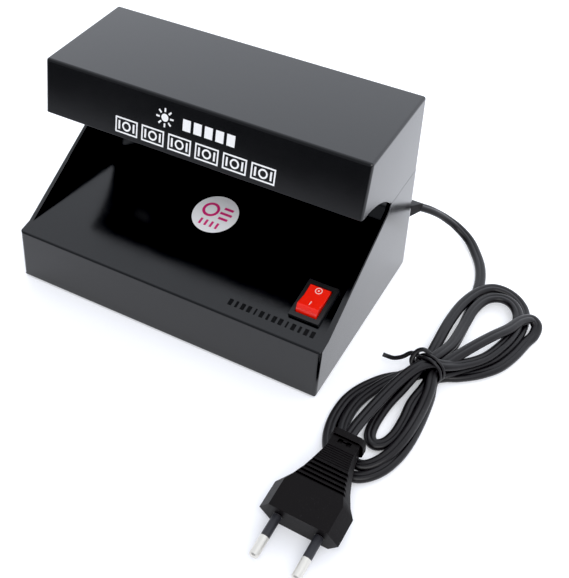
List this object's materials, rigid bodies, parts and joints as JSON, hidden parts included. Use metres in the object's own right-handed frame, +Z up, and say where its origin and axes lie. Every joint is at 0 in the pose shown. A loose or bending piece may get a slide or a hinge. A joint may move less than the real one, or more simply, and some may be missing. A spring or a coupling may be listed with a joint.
{
  "type": "counterfeit bill detector",
  "caption": "Desk-top ultraviolet banknote checker: C-shaped glossy two-part housing with a lamp in its head, a red rocker switch and a tied flat mains lead.",
  "frame": {"origin": "centre of the housing's footprint at the underside of its feet, the lead left out", "axes": "+X to the right across the width, +Y towards the back, +Z up"},
  "size_m": [0.2405, 0.2195, 0.101],
  "materials": {
    "shell": "polished mould surface",
    "cover": "fine texture",
    "feet": "dull",
    "screws": "zinc plated",
    "reflector": "polished sheet",
    "holder": "satin",
    "contacts": "bare",
    "lamp_glass": "dark blue filter glass",
    "lamp_caps": "drawn sheet",
    "lamp_pins": "plated",
    "switch_black": "satin",
    "switch_red": "smooth",
    "print_white": "pad print",
    "sticker_silver": "silver film",
    "sticker_pink": "ink",
    "board": "phenolic laminate",
    "posts": "nylon",
    "ferrite": "sintered",
    "copper": "enamelled wire",
    "capacitor_blue": "sleeve",
    "capacitor_red": "dipped",
    "transistor": "moulded",
    "resistor": "lacquer",
    "fuse": "clear",
    "wire_white": "insulation",
    "wire_red": "insulation",
    "lead": "soft sheath",
    "plug": "fine texture",
    "plug_metal": "nickel plated"
  },
  "bodies": {
    "housing": {"lower_shell": "shell", "upper_shell": "shell", "bottom_cover": "cover", "rubber_feet": "feet", "cover_screws": "screws", "shell_screws": "screws", "reflector": "reflector", "reflector_screws": "screws", "lamp_holder_left": "holder", "lamp_holder_right": "holder", "holder_contacts": "contacts", "holder_screws": "screws", "switch_housing": "switch_black", "switch_terminals": "contacts", "circuit_board": "board", "board_posts": "posts", "board_screws": "screws", "inductor_core": "ferrite", "inductor_winding": "copper", "filter_capacitor": "capacitor_blue", "film_capacitors": "capacitor_red", "transistors": "transistor", "resistors": "resistor", "fuse": "fuse", "lamp_leads": "wire_white", "switch_leads": "wire_red", "lead_clamp": "posts", "clamp_screws": "screws", "lead_tail": "lead", "strain_relief": "lead", "front_print": "print_white", "round_sticker": "sticker_silver", "sticker_marks": "sticker_pink", "mains_lead": "lead", "lead_loops_back": "lead", "lead_loops_front": "lead", "lead_tie": "lead", "plug_body": "plug", "plug_sleeves": "plug", "plug_pins": "plug_metal"},
    "rocker": {"switch_rocker": "switch_red", "rocker_marks": "print_white", "rocker_plunger": "contacts"},
    "lamp": {"lamp_rotors": "holder", "lamp_glass": "lamp_glass", "lamp_caps": "lamp_caps", "lamp_pins": "lamp_pins"}
  },
  "joints": [
    {"name": "rocker_tilt", "type": "hinge", "parent": "housing", "child": "rocker", "pos_m": [0.0676, -0.02417, 0.02936], "axis": [1, 0, 0], "range_deg": [0, 18]},
    {"name": "lamp_twist", "type": "hinge", "parent": "housing", "child": "lamp", "pos_m": [0, 0.0113, 0.085], "axis": [1, 0, 0], "range_deg": [0, 90]}
  ]
}
